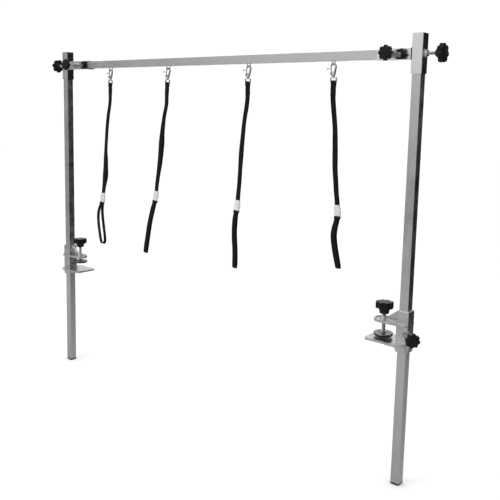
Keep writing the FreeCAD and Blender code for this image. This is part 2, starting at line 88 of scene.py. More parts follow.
class Finish:
    """A node material under construction."""

    def __init__(self, name):
        self.material = bpy.data.materials.new(name)
        self.material.use_nodes = True
        self.tree = self.material.node_tree
        self.tree.nodes.clear()
        out = self.tree.nodes.new("ShaderNodeOutputMaterial")
        self.shader = self.tree.nodes.new("ShaderNodeBsdfPrincipled")
        self.link(self.shader, "BSDF", out, "Surface")

    def link(self, a, a_out, b, b_in):
        self.tree.links.new(a.outputs[a_out], b.inputs[b_in])

    def set(self, **values):
        for key, value in values.items():
            self.shader.inputs[key.replace("_", " ")].default_value = value

    def coords(self, scale, output):
        where = self.tree.nodes.new("ShaderNodeTexCoord")
        mapping = self.tree.nodes.new("ShaderNodeMapping")
        mapping.inputs["Scale"].default_value = scale
        self.link(where, output, mapping, "Vector")
        return mapping

    def noise(self, scale, detail=3.0, roughness=0.55, output="Object"):
        mapping = self.coords(scale, output)
        noise = self.tree.nodes.new("ShaderNodeTexNoise")
        noise.inputs["Scale"].default_value = 1.0
        noise.inputs["Detail"].default_value = detail
        noise.inputs["Roughness"].default_value = roughness
        self.link(mapping, "Vector", noise, "Vector")
        return noise, "Fac"

    def wave(self, scale, direction):
        """Sine bands across one direction of the webbing's own coordinates."""
        mapping = self.coords(scale, "UV")
        wave = self.tree.nodes.new("ShaderNodeTexWave")
        wave.wave_type = "BANDS"
        wave.bands_direction = direction
        wave.wave_profile = "SIN"
        wave.inputs["Scale"].default_value = 1.0
        self.link(mapping, "Vector", wave, "Vector")
        return wave, "Fac"

    def spread(self, source, low, high, socket, start=0.3, stop=0.7):
        """Map a 0..1 texture onto a number socket of the shader."""
        node = self.tree.nodes.new("ShaderNodeMapRange")
        node.inputs["From Min"].default_value = start
        node.inputs["From Max"].default_value = stop
        node.inputs["To Min"].default_value = low
        node.inputs["To Max"].default_value = high
        self.link(source[0], source[1], node, "Value")
        self.link(node, "Result", self.shader, socket)

    def tint(self, source, dark, light, start=0.3, stop=0.7):
        """Base colour between two colours, by a 0..1 texture."""
        ramp = self.tree.nodes.new("ShaderNodeValToRGB")
        ramp.color_ramp.elements[0].position = start
        ramp.color_ramp.elements[1].position = stop
        ramp.color_ramp.elements[0].color = (*dark, 1.0)
        ramp.color_ramp.elements[1].color = (*light, 1.0)
        self.link(source[0], source[1], ramp, "Fac")
        self.link(ramp, "Color", self.shader, "Base Color")

    def math(self, kind, a, b):
        node = self.tree.nodes.new("ShaderNodeMath")
        node.operation = kind
        for i, value in enumerate((a, b)):
            if isinstance(value, tuple):
                self.tree.links.new(value[0].outputs[value[1]], node.inputs[i])
            else:
                node.inputs[i].default_value = value
        return node, "Value"

    def bump(self, source, height, strength, below=None):
        """Relief of this height in metres, over another bump if one is given."""
        node = self.tree.nodes.new("ShaderNodeBump")
        node.inputs["Strength"].default_value = strength
        node.inputs["Distance"].default_value = height
        self.link(source[0], source[1], node, "Height")
        if below is not None:
            self.link(below, "Normal", node, "Normal")
        self.link(node, "Normal", self.shader, "Normal")
        return node


def grey(value):
    return (value, value, value)


# Heights of the relief in the materials.
FINE_LINES = 0.03 * MM
BLOTCHES = 0.60 * MM
SAND_GRAIN = 0.16 * MM
MOULD_GRAIN = 0.10 * MM
YARN = 0.06 * MM
WEAVE = 0.30 * MM
TWIST = 0.05 * MM

DRAWN_LINES = 2600.0       # lines per metre across the drawing direction
DRAWN_LENGTH = 9.0         # and along it
RIB_WIDTH = 1.1 * MM
RIB_LENGTH = 1.6 * MM
CAST_ROUNDING = 1.3 * MM


def brushed_steel(name, along, tone, rough):
    """Drawn stainless tube: fine lines along one axis, faint handling marks."""
    lines = [DRAWN_LINES, DRAWN_LINES, DRAWN_LINES]
    lines[along] = DRAWN_LENGTH
    finish = Finish(name)
    finish.set(Metallic=1.0)
    drawn = finish.noise(tuple(lines), 4.0, 0.6)
    smear = finish.noise(grey(22.0), 3.0, 0.6)
    both = finish.math("MULTIPLY_ADD", drawn, 0.5)
    finish.tree.links.new(smear[0].outputs[smear[1]], both[0].inputs[2])
    finish.spread(both, rough - 0.07, rough + 0.10, "Roughness", 0.55, 0.95)
    finish.tint(smear, grey(tone * 0.93), grey(tone), 0.35, 0.65)
    finish.bump(drawn, FINE_LINES, 0.35)
    return finish.material


def cast_aluminium(name):
    """Tumbled casting: sand grain, soft blotches and rounded edges."""
    finish = Finish(name)
    finish.set(Metallic=1.0)
    grain = finish.noise(grey(900.0), 5.0, 0.65)
    blotch = finish.noise(grey(45.0), 4.0, 0.6)
    finish.tint(blotch, grey(0.50), grey(0.62), 0.3, 0.7)
    finish.spread(blotch, 0.36, 0.22, "Roughness", 0.3, 0.7)
    edges = finish.tree.nodes.new("ShaderNodeBevel")
    edges.samples = 6
    edges.inputs["Radius"].default_value = CAST_ROUNDING
    first = finish.bump(blotch, BLOTCHES, 0.30, edges)
    finish.bump(grain, SAND_GRAIN, 0.5, first)
    return finish.material


def plated(name, tone, rough, grain_scale=1400.0, metal=1.0):
    """Plated steel; a bright satin one is given as partly metallic."""
    finish = Finish(name)
    finish.set(Metallic=metal)
    grain = finish.noise(grey(grain_scale), 3.0, 0.5)
    haze = finish.noise(grey(60.0), 3.0, 0.6)
    finish.tint(haze, grey(tone * 0.88), grey(tone), 0.35, 0.65)
    finish.spread(haze, rough + 0.06, rough - 0.03, "Roughness", 0.35, 0.65)
    finish.bump(grain, FINE_LINES, 0.3)
    return finish.material


def moulded_black(name, tone, rough, pits=1700.0):
    """Black plastic or rubber with a fine moulded texture and dusty high spots."""
    finish = Finish(name)
    finish.set(Specular_IOR_Level=0.20)
    fine = finish.noise(grey(pits), 4.0, 0.6)
    cloud = finish.noise(grey(70.0), 3.0, 0.6)
    finish.tint(cloud, grey(tone * 0.75), grey(tone * 1.35), 0.3, 0.7)
    finish.spread(fine, rough - 0.08, rough + 0.10, "Roughness", 0.3, 0.7)
    finish.bump(fine, MOULD_GRAIN, 0.45)
    return finish.material


def black_webbing(name):
    """Flat nylon webbing: ribs in two directions over fine yarn."""
    finish = Finish(name)
    finish.set(Sheen_Weight=0.03, Sheen_Roughness=0.5, Specular_IOR_Level=0.12)
    warp = finish.wave((1 / RIB_WIDTH / 3.0, 0.0, 1.0), "X")
    weft = finish.wave((0.0, 1 / RIB_LENGTH / 3.0, 1.0), "Y")
    weave = finish.math("MULTIPLY", warp, weft)
    yarn = finish.noise((2500.0, 9000.0, 1.0), 3.0, 0.6, "UV")
    worn = finish.noise((60.0, 25.0, 1.0), 3.0, 0.6, "UV")
    finish.tint(worn, grey(0.003), grey(0.009), 0.3, 0.75)
    finish.spread(yarn, 0.68, 0.88, "Roughness", 0.3, 0.7)
    first = finish.bump(yarn, YARN, 0.4)
    finish.bump(weave, WEAVE, 0.8, first)
    return finish.material


def thread_black(name):
    """Twisted sewing thread."""
    finish = Finish(name)
    finish.set(Sheen_Weight=0.05, Specular_IOR_Level=0.2)
    twist = finish.noise(grey(3500.0), 3.0, 0.6)
    finish.tint(twist, grey(0.010), grey(0.022), 0.3, 0.7)
    finish.spread(twist, 0.5, 0.75, "Roughness", 0.3, 0.7)
    finish.bump(twist, TWIST, 0.4)
    return finish.material


STEEL_Z = brushed_steel("steel_drawn_z", 2, 0.60, 0.27)
STEEL_X = brushed_steel("steel_drawn_x", 0, 0.62, 0.25)
SLEEVE_Z = brushed_steel("sleeve_polished_z", 2, 0.72, 0.12)
SLEEVE_X = brushed_steel("sleeve_polished_x", 0, 0.74, 0.10)
CASTING = cast_aluminium("cast_aluminium")
ZINC = plated("zinc_plated", 0.24, 0.26)
SCREW = plated("screw_steel", 0.52, 0.30)
NICKEL = plated("nickel_plated", 0.62, 0.12)
SLIDER = plated("slider_plated", 0.86, 0.22, metal=0.45)
WELD = plated("weld_bead", 0.45, 0.36, 700.0)
KNOB = moulded_black("knob_plastic", 0.004, 0.30)
PLUG = moulded_black("plug_plastic", 0.008, 0.48)
RUBBER = moulded_black("pad_rubber", 0.006, 0.70, 1100.0)
WEBBING = black_webbing("webbing_black")
THREAD = thread_black("thread_black")

SIDES = ("right", "left")
LOOPS = (1, 2, 3, 4)
COATS = [("crossbar", STEEL_X), ("bar_eyes", NICKEL)]
for side in SIDES:
    for node, material in (("clamp_casting_", CASTING), ("pressure_pad_", RUBBER),
                           ("pressure_disc_", ZINC), ("clamp_screw_", SCREW),
                           ("clamp_knob_", KNOB), ("clamp_lock_screw_", SCREW),
                           ("clamp_lock_knob_", KNOB), ("post_", STEEL_Z),
                           ("post_foot_plug_", PLUG), ("head_sleeve_", SLEEVE_Z),
                           ("bar_sleeve_", SLEEVE_X), ("weld_nuts_", SCREW),
                           ("head_lock_screw_", SCREW), ("head_lock_knob_", KNOB),
                           ("bar_lock_screw_", SCREW), ("bar_lock_knob_", KNOB)):
        COATS.append((node + side, material))
for k in LOOPS:
    COATS += [("snap_hook_%d" % k, NICKEL), ("snap_bolt_%d" % k, NICKEL),
              ("swivel_eye_%d" % k, NICKEL), ("strap_slider_%d" % k, SLIDER),
              ("strap_%d" % k, WEBBING), ("noose_%d" % k, WEBBING)]
for node, material in COATS:
    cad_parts[node].data.materials.clear()
    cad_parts[node].data.materials.append(material)


# ---- mesh helpers ------------------------------------------------------------------------

def piece(name, verts, faces, material, body, slot, uvs=None, smooth=True):
    """A mesh object that rides on a CAD body. uvs is one pair for each face corner."""
    mesh = bpy.data.meshes.new(name)
    mesh.from_pydata([tuple(v) for v in verts], [], faces)
    if uvs is not None:
        layer = mesh.uv_layers.new(name="UVMap")
        for loop, uv in zip(layer.data, uvs):
            loop.uv = uv
    mesh.polygons.foreach_set("use_smooth", [smooth] * len(mesh.polygons))
    mesh.materials.append(material)
    mesh.update()
    obj = bpy.data.objects.new(name, mesh)
    bpy.context.scene.collection.objects.link(obj)
    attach(obj, body)
    return obj


def tube_faces(rings, sides, closed=False):
    """Quads between rings of points, with end caps unless the rings close."""
    faces = []
    for i in range(rings if closed else rings - 1):
        a, b = i * sides, (i + 1) % rings * sides
        for j in range(sides):
            n = (j + 1) % sides
            faces.append((a + j, a + n, b + n, b + j))
    if not closed:
        faces.append(tuple(range(sides))[::-1])
        faces.append(tuple((rings - 1) * sides + j for j in range(sides)))
    return faces


def frame_of(direction):
    """Two unit vectors square to a direction and to each other."""
    direction = direction.normalized()
    first = direction.orthogonal().normalized()
    return first, direction.cross(first)


def spoke(a, b, turn):
    """Unit vector at an angle in the plane of two square unit vectors."""
    return a * math.cos(turn) + b * math.sin(turn)


def lathe(start, direction, profile, sides):
    """Points and faces of a turned shape: profile is (distance, radius) pairs."""
    direction = direction.normalized()
    a, b = frame_of(direction)
    verts = []
    for along, radius in profile:
        for j in range(sides):
            t = 2.0 * math.pi * j / sides
            verts.append(start + direction * along + spoke(a, b, t) * radius)
    return verts, tube_faces(len(profile), sides)


def joined(parts):
    """Several (points, faces) pairs as one."""
    verts, faces = [], []
    for more_verts, more_faces in parts:
        base = len(verts)
        verts += more_verts
        faces += [tuple(base + i for i in f) for f in more_faces]
    return verts, faces


def screw_thread(start, direction, length, radius, pitch):
    """Closed rod with a 60 degree thread on it."""
    direction = direction.normalized()
    a, b = frame_of(direction)
    sides, steps = 24, 6
    depth = 0.54 * pitch
    chamfer = 0.7 * MM
    rings = int(length / pitch * steps)
    verts = []
    for i in range(rings + 1):
        along = length * i / rings
        for j in range(sides):
            turn = j / sides
            phase = (along / pitch - turn) % 1.0
            cut = depth * max(0.0, 1.0 - abs(phase - 0.5) * 2.6)
            ends = min(along, length - along)
            r = min(radius - cut, radius - chamfer + ends)
            t = 2.0 * math.pi * turn
            verts.append(start + direction * along + spoke(a, b, t) * r)
    return verts, tube_faces(rings + 1, sides)


# ---- webbing loops -----------------------------------------------------------------------

EYE_AT = {1: -1.1275, 2: -0.8355, 3: -0.4915, 4: -0.1915}
EYE_Z = 0.726
SWIVEL_BAR = -45.8 * MM        # lower bar of the swivel eye, below the bar eye
WEB_HALF = 7.5 * MM            # half the width of the webbing
LAYER_HALF = 0.75 * MM         # half its thickness

# Sideways lean of each loop: distance to the side for each unit of height.
LEAN = {1: 0.07, 2: 0.09, 3: 0.06, 4: -0.04}
# Routes in millimetres from the swivel eye's lower bar: (y, z) of the doubled webbing
# down to its slider, then (y, z, half opening) of the noose below it.
STRAP = {
    1: [(0, -4), (2, -36), (2, -70), (-5, -120), (-7, -175), (-9, -240),
        (-5, -300), (-5, -340), (-10, -372), (-12, -394)],
    2: [(0, -4), (0, -36), (3, -70), (-5, -108), (-8, -165), (-8, -230),
        (-11, -285), (-15, -325), (-17, -348), (-17, -362)],
    3: [(0, -4), (4, -36), (3, -70), (-4, -108), (-7, -165), (-9, -230),
        (-8, -290), (-9, -325), (-10, -345), (-10, -358)],
    4: [(0, -4), (-3, -36), (1, -70), (8, -108), (10, -165), (10, -230),
        (15, -285), (18, -313), (21, -329), (22, -341)],
}
NOOSE = {
    1: [(-15, -427, 1.5), (-19, -440, 5), (-23, -464, 9), (-18, -505, 11),
        (-9, -550, 11), (-5, -572, 10), (-4, -585, 6)],
    2: [(-20, -394, 1.5), (-23, -406, 3), (-30, -430, 4), (-39, -475, 4),
        (-44, -525, 4), (-47, -560, 4), (-48, -574, 3)],
    3: [(-13, -390, 1.5), (-16, -402, 3), (-18, -425, 4), (-16, -470, 4),
        (-7, -515, 4), (-4, -562, 4), (-4, -575, 3)],
    4: [(24, -373, 1.5), (20, -386, 3), (9, -405, 4), (4, -430, 4.5),
        (12, -468, 5), (24, -504, 5), (29, -524, 3)],
}
# Where the two layers stand apart: (share of the length, half gap in millimetres).
SPLIT = {
    1: [(0.0, 0.1), (0.58, 0.1), (0.72, 3.0), (0.84, 5.2), (0.96, 1.2), (1.0, 0.3)],
    2: [(0.0, 0.1), (0.30, 0.2), (0.42, 2.0), (0.56, 4.8), (0.72, 3.0), (0.90, 0.6),
        (1.0, 0.2)],
    3: [(0.0, 0.1), (0.40, 0.2), (0.60, 1.0), (0.80, 0.5), (1.0, 0.2)],
    4: [(0.0, 0.1), (0.35, 0.3), (0.55, 1.2), (0.75, 0.8), (1.0, 0.2)],
}
LAYER_SLACK = 0.05 * MM
FOLD_RADIUS = 3.25 * MM        # of the webbing round the swivel eye's bar
FOLD_REACH = 13.0 * MM         # over which it closes up below the bar
SEWN_FROM, SEWN_TO = 5.0 * MM, 34.0 * MM
SEWN_OFFSET = 2.1 * MM
SEWN_HALF = 0.62 * MM
# Corners of the stitched box: (across, down the strap) in millimetres.
BOX = [(-5.6, 7.5), (5.6, 7.5), (5.6, 30.5), (-5.6, 30.5), (-5.6, 7.5), (5.6, 30.5)]
BOX_CROSS = [(5.6, 7.5), (-5.6, 30.5)]
STITCH_SPACING = 2.9           # millimetres
STITCH_OFFSET = 2.78 * MM
# Keeper band: half width, half depth and half height, and its swell, in millimetres.
KEEPER_HALF = (8.5, 4.2, 4.6)
KEEPER_SWELL = 0.8


def chain_axes(k):
    """Directions up along hanging loop k and across its webbing."""
    lean = math.atan(LEAN[k])
    up = Vector((math.sin(lean), 0.0, math.cos(lean)))
    across = Vector((math.cos(lean), 0.0, -math.sin(lean)))
    return up, across


def hung(k, x, y, z):
    """Point of loop k, in metres, from millimetres at the swivel eye's lower bar."""
    up, across = chain_axes(k)
    eye = Vector((EYE_AT[k], 0.0, EYE_Z))
    return (eye + across * (x * MM) + Vector((0.0, y * MM, 0.0))
            + up * (z * MM + SWIVEL_BAR))


def smooth_line(name, points):
    """Points along a NURBS curve of these control points."""
    data = bpy.data.curves.new(name, "CURVE")
    data.dimensions = "3D"
    spline = data.splines.new("NURBS")
    spline.points.add(len(points) - 1)
    for spot, place in zip(spline.points, points):
        spot.co = (*place, 1.0)
    spline.order_u = 3
    spline.use_endpoint_u = True
    spline.resolution_u = 12
    holder = bpy.data.objects.new(name, data)
    bpy.context.scene.collection.objects.link(holder)
    bpy.context.view_layer.update()
    mesh = bpy.data.meshes.new_from_object(holder)
    line = [v.co.copy() for v in mesh.vertices]
    bpy.data.objects.remove(holder)
    bpy.data.curves.remove(data)
    bpy.data.meshes.remove(mesh)
    return line


def tangents(line):
    """Direction of a line at each of its points."""
    result = []
    for i in range(len(line)):
        before = line[max(i - 1, 0)]
        after = line[min(i + 1, len(line) - 1)]
        result.append((after - before).normalized())
    return result


def runs_along(line):
    """Distance of each point of a line from its start."""
    runs = [0.0]
    for a, b in zip(line, line[1:]):
        runs.append(runs[-1] + (b - a).length)
    return runs


def front_side(ahead, across):
    """Normal of webbing on the side that faces the front."""
    out = ahead.cross(across).normalized()
    return -out if out.y > 0 else out


def web_profile(half_thick):
    """Section of webbing with rounded selvedges: (across, out, distance round it)."""
    soft = min(half_thick, 0.5 * MM)
    flat = WEB_HALF - soft
    points = []
    steps = 6
    for i in range(steps + 1):
        points.append((-flat + 2 * flat * i / steps, half_thick))
    for t in (60, 30, 0, -30, -60):
        a = math.radians(t)
        points.append((flat + soft * math.cos(a), half_thick * math.sin(a)))
    for i in range(steps + 1):
        points.append((flat - 2 * flat * i / steps, -half_thick))
    for t in (-120, -150, 180, 150, 120):
        a = math.radians(t)
        points.append((-flat + soft * math.cos(a), half_thick * math.sin(a)))
    triples = []
    run = 0.0
    for i, (w, n) in enumerate(points):
        if i:
            run += math.hypot(w - points[i - 1][0], n - points[i - 1][1])
        triples.append((w, n, run))
    return triples


def web_strip(line, across, half_thick=LAYER_HALF, sway=0.0, seed=0.0):
    """Points, faces and corner UVs of a strip of webbing along a line."""
    profile = web_profile(half_thick)
    sides = len(profile)
    verts = []
    runs = runs_along(line)
    for spot, run, ahead in zip(line, runs, tangents(line)):
        out = ahead.cross(across).normalized()
        drift = sway * (math.sin(run * 38.0 + seed) + 0.5 * math.sin(run * 91.0 + 2 * seed))
        for w, n, _ in profile:
            verts.append(spot + across * (w + drift) + out * n)
    faces = tube_faces(len(line), sides)
    uvs = []
    for face in faces:
        wraps = len(face) == 4 and {index % sides for index in face} == {0, sides - 1}
        for index in face:
            ring, j = divmod(index, sides)
            u = profile[j][2]
            if wraps and j == 0:
                u = profile[-1][2] + 0.3 * MM
            uvs.append((u, runs[ring]))
    return verts, faces, uvs


def eased(t):
    """Smooth step from 0 to 1."""
    return t * t * (3 - 2 * t)


def at_share(table, share):
    """Value at a share of the length, from (share, value) pairs."""
    for (s0, v0), (s1, v1) in zip(table, table[1:]):
        if share <= s1:
            return v0 + (v1 - v0) * eased((share - s0) / (s1 - s0))
    return table[-1][1]


def doubled_line(k, line):
    """One layer's line: up the front of the strap, over the eye's bar, down behind."""
    up, across = chain_axes(k)
    bar = hung(k, 0, 0, 0)
    runs = runs_along(line)
    front, back = [], []
    for spot, run, ahead in zip(line, runs, tangents(line)):
        gap = at_share(SPLIT[k], run / runs[-1]) * MM + LAYER_HALF + LAYER_SLACK
        near = max(0.0, 1.0 - run / FOLD_REACH)
        gap += (FOLD_RADIUS - gap) * eased(near)
        out = front_side(ahead, across)
        front.append(spot + out * gap)
        back.append(spot - out * gap)
    arc = []
    for i in range(1, 12):
        t = math.pi * i / 12
        arc.append(bar + FRONT * FOLD_RADIUS * math.cos(t) + up * FOLD_RADIUS * math.sin(t))
    return front[::-1] + arc + back


def stitch(centre, along, across, out, length=2.1 * MM, width=0.65 * MM, height=0.35 * MM):
    """One raised stitch: a small flattened capsule."""
    sides, rings = 8, 5
    verts = []
    for i in range(rings):
        t = math.pi * (i + 0.5) / rings
        mid = centre + along * (-math.cos(t) * length / 2)
        size = math.sin(t)
        for j in range(sides):
            a = 2 * math.pi * j / sides
            verts.append(mid + across * (math.cos(a) * width / 2 * size)
                         + out * (math.sin(a) * height * size))
    return verts, tube_faces(rings, sides)


def stitched_box(k, line):
    """Stitches of the sewn fold, front and back: a box with a cross in it."""
    _, across = chain_axes(k)
    ahead = tangents(line)
    runs = runs_along(line)
    parts = []

    def surface(x, s, face):
        """Point and normal on the strap: across, down and front (1) or back (-1)."""
        for i in range(1, len(line)):
            if runs[i] >= s:
                share = (s - runs[i - 1]) / (runs[i] - runs[i - 1])
                spot = line[i - 1].lerp(line[i], share)
                out = front_side(ahead[i], across)
                return spot + across * x + out * (STITCH_OFFSET * face), out * face
        return line[-1], FRONT

    for face in (1, -1):
        for path in (BOX, BOX_CROSS):
            for (x0, s0), (x1, s1) in zip(path, path[1:]):
                span = math.hypot(x1 - x0, s1 - s0)
                count = max(2, int(span / STITCH_SPACING))
                for i in range(count):
                    f = (i + 0.5) / count
                    x, s = x0 + (x1 - x0) * f, s0 + (s1 - s0) * f
                    spot, out = surface(x * MM, s * MM, face)
                    ahead_spot, _ = surface((x + (x1 - x0) * 0.02) * MM,
                                            (s + (s1 - s0) * 0.02) * MM, face)
                    along = (ahead_spot - spot).normalized()
                    parts.append(stitch(spot, along, along.cross(out), out))
    return joined(parts)


def keeper_band(k):
    """Black band that gathers both strands just below the slider."""
    _, across = chain_axes(k)
    y, z, _ = NOOSE[k][0]
    y1, z1, _ = NOOSE[k][1]
    centre = hung(k, 0, y + (y1 - y) * 0.3, z - 4.0)
    down = (hung(k, 0, y1, z1) - hung(k, 0, y, z)).normalized()
    out = down.cross(across).normalized()
    half_width, half_depth, half_height = KEEPER_HALF
    rings, sides = 9, 28
    squareness = 0.35
    verts = []
    for i in range(rings):
        t = -1.0 + 2.0 * i / (rings - 1)
        swell = KEEPER_SWELL * (1 - t * t) ** 0.5
        for j in range(sides):
            a = 2 * math.pi * j / sides
            c, s = math.cos(a), math.sin(a)
            x = (half_width + swell) * math.copysign(abs(c) ** squareness, c)
            n = (half_depth + swell) * math.copysign(abs(s) ** squareness, s)
            verts.append(centre + (down * (t * half_height) + across * x + out * n) * MM)
    return verts, tube_faces(rings, sides)


for k in LOOPS:
    body = "loop_%d" % k
    _, across = chain_axes(k)
    line = smooth_line("strap_line_%d" % k, [hung(k, 0, y, z) for y, z in STRAP[k]])
    verts, faces, uvs = web_strip(doubled_line(k, line), across, sway=0.35 * MM, seed=k * 1.7)
    strap = piece("strap_web_%d" % k, verts, faces, WEBBING, body, "webbing", uvs)
    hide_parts("strap_%d" % k)

    # Short outer layers of the sewn fold, one on each side.
    tails = ([], [])
    for spot, run, ahead in zip(line, runs_along(line), tangents(line)):
        if SEWN_FROM <= run <= SEWN_TO:
            out = front_side(ahead, across)
            tails[0].append(spot + out * SEWN_OFFSET)
            tails[1].append(spot - out * SEWN_OFFSET)
    for face, tail in zip(("front", "back"), tails):
        verts, faces, uvs = web_strip(tail, across, half_thick=SEWN_HALF)
        piece("sewn_layer_%s_%d" % (face, k), verts, faces, WEBBING, body, "webbing", uvs)
    verts, faces = stitched_box(k, line)
    stitches = piece("stitches_%d" % k, verts, faces, THREAD, body, "webbing")

    route = ([(y - half, z) for y, z, half in NOOSE[k]]
             + [(y + half, z) for y, z, half in NOOSE[k]][::-1])
    line = smooth_line("noose_line_%d" % k, [hung(k, 0, y, z) for y, z in route])
    verts, faces, uvs = web_strip(line, across, sway=0.3 * MM, seed=k * 2.3)
    noose = piece("noose_web_%d" % k, verts, faces, WEBBING, body, "webbing", uvs)
    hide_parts("noose_%d" % k)
    verts, faces = keeper_band(k)
    keeper = piece("keeper_band_%d" % k, verts, faces, RUBBER, body, "pad_rubber")


# ---- snap hooks --------------------------------------------------------------------------

# Paths in the plane of the hook: (x, z, half thickness) from the bar eye.
HOOK_LEG = [(1.4, -30.8, 2.0), (2.2, -27.5, 2.4), (3.7, -21.5, 2.5), (5.1, -16.0, 2.4),
            (6.4, -11.0, 2.2), (7.3, -7.0, 2.1), (7.5, -3.9, 1.9)]
HOOK_SLEEVE = [(-7.5, -17.6, 2.5), (-7.5, -18.4, 2.9), (-7.5, -21.5, 2.8), (-7.3, -24.2, 2.6),
               (-5.7, -27.4, 2.4), (-3.2, -29.8, 2.2), (-1.4, -30.4, 1.8)]
HOOK_WEB = [(-5.2, -22.5, 1.2), (-2.6, -23.6, 1.4), (0.4, -23.8, 1.4), (3.2, -22.8, 1.2)]
HOOK_TIP = (-7.5, -4.1, 1.6)
# The arch over the bar eye: radius, height of its centre and half thickness.
HOOK_ARCH = (7.5, -3.9, 1.9)
# The swivel barrel: height of its lower face, then (distance, radius) up from there.
BARREL_LOW = -32.9
BARREL = [(0.0, 3.4), (0.5, 4.2), (1.6, 4.4), (2.0, 3.9), (2.6, 3.9), (3.0, 4.4),
          (5.6, 4.3), (7.6, 3.4), (8.6, 2.0)]


def on_hook(k, x, z):
    """Point of snap hook k, in metres, from millimetres at the bar eye."""
    up, across = chain_axes(k)
    return Vector((EYE_AT[k], 0.0, EYE_Z)) + across * (x * MM) + up * (z * MM)


def bent_bar(k, path, depth, sides=20):
    """Flat-sided bar along a path of snap hook k, this many times as deep as wide."""
    up, across = chain_axes(k)
    side = Vector((0.0, 1.0, 0.0))
    verts = []
    for i, (x, z, radius) in enumerate(path):
        before, after = path[max(i - 1, 0)], path[min(i + 1, len(path) - 1)]
        ahead = (across * (after[0] - before[0]) + up * (after[1] - before[1])).normalized()
        out = ahead.cross(side)
        for j in range(sides):
            t = 2 * math.pi * j / sides
            c, s = math.cos(t), math.sin(t)
            y = depth * math.copysign(abs(c) ** 0.5, c)
            n = math.copysign(abs(s) ** 0.5, s)
            verts.append(on_hook(k, x, z) + (side * y + out * n) * (radius * MM))
    return verts, tube_faces(len(path), sides)


def snap_body(k):
    """Snap hook: a leg that leans out to the arch, the bolt's sleeve and the barrel."""
    radius, centre, half = HOOK_ARCH
    arch = []
    for i in range(1, 13):
        t = math.pi * i / 12
        arch.append((radius * math.cos(t), centre + radius * math.sin(t), half))
    up, _ = chain_axes(k)
    profile = [(along * MM, r * MM) for along, r in BARREL]
    barrel = lathe(on_hook(k, 0, BARREL_LOW), up, profile, 24)
    return joined([bent_bar(k, HOOK_LEG + arch + [HOOK_TIP], 1.45),
                   bent_bar(k, HOOK_SLEEVE, 1.2), bent_bar(k, HOOK_WEB, 1.6), barrel])


for k in LOOPS:
    hook = piece("snap_body_%d" % k, *snap_body(k), NICKEL, "snap_%d" % k, "snap_nickel")
    hook.data.set_sharp_from_angle(angle=math.radians(42.0))
    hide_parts("snap_hook_%d" % k)


# ---- threads, inserts, caps and weld beads -----------------------------------------------

POST_X = {"right": 0.0625, "left": -1.3755}
OUT = {"right": 1.0, "left": -1.0}
CLAMP_Z = {"right": 0.0, "left": -0.023}
SCREW_RAISE = {"right": 0.0, "left": 0.021}
BAR_Z = 0.748
TUBE_HALF = 0.0125
POST_CHAMFER = 0.001

# Diameter, lobes, rim height, hub radius and hub height in millimetres.
CLAMP_KNOB = (48.6, 8, 18.0, 12.5, 14.0)
HEAD_KNOB = (48.0, 7, 14.0, 9.0, 9.0)
BAR_KNOB = (39.5, 8, 12.0, 8.5, 7.0)
LOCK_KNOB = (39.0, 8, 13.0, 8.5, 7.0)
KNOB_CROWN = 0.3 * MM
CAP_RISE = 0.4 * MM

# Thread radius and pitch of each screw.
M10 = (4.98 * MM, 1.5 * MM)
M8 = (3.98 * MM, 1.25 * MM)

# Clamping screw: distance from the post, and heights over the clamp's jaw face.
SCREW_OFFSET = 0.0625
DISC_LOW = 0.005
SCREW_IN_DISC = 0.00705
SCREW_TOP = 0.086
CLAMP_HUB = 0.066
COLLAR_AT = 0.00965
COLLAR = [(0.0, 7.5 * MM), (0.5 * MM, 8.0 * MM), (1.0 * MM, 7.8 * MM), (1.4 * MM, 6.8 * MM)]

LOCK_Z = 0.024                 # the clamp's lock screw over the jaw face
BAR_LOCK_IN = 0.0645           # the crossbar's lock screw inwards from the post
SCREW_GAP = 0.00005            # between a lock screw's end and the tube it holds
CORNER_GAP = 0.00105           # the same at the corner of the post


def bush_and_cap(name, hub, direction, size, bore, cap_radius, body):
    """Steel bush in the hub's end face and a low domed cap on the far face."""
    inner, outer = bore + 0.3 * MM, bore + 2.5 * MM
    bush = lathe(hub - direction * 0.9 * MM, direction,
                 [(0.0, inner), (0.0, bore + 2.2 * MM), (0.25 * MM, outer),
                  (2.0 * MM, outer), (2.0 * MM, inner)], 32)
    piece(name + "_bush", *bush, SCREW, body, "screw_steel", smooth=False)
    height = (size[2] + size[4]) * MM
    profile = [(-0.5 * MM, cap_radius), (0.0, cap_radius)]
    for i in range(1, 9):
        t = math.pi / 2 * i / 8
        profile.append((CAP_RISE * math.sin(t), cap_radius * max(math.cos(t), 0.02)))
    cap = lathe(hub + direction * (height + KNOB_CROWN), direction, profile, 40)
    piece(name + "_cap", *cap, KNOB, body, "knob_black")


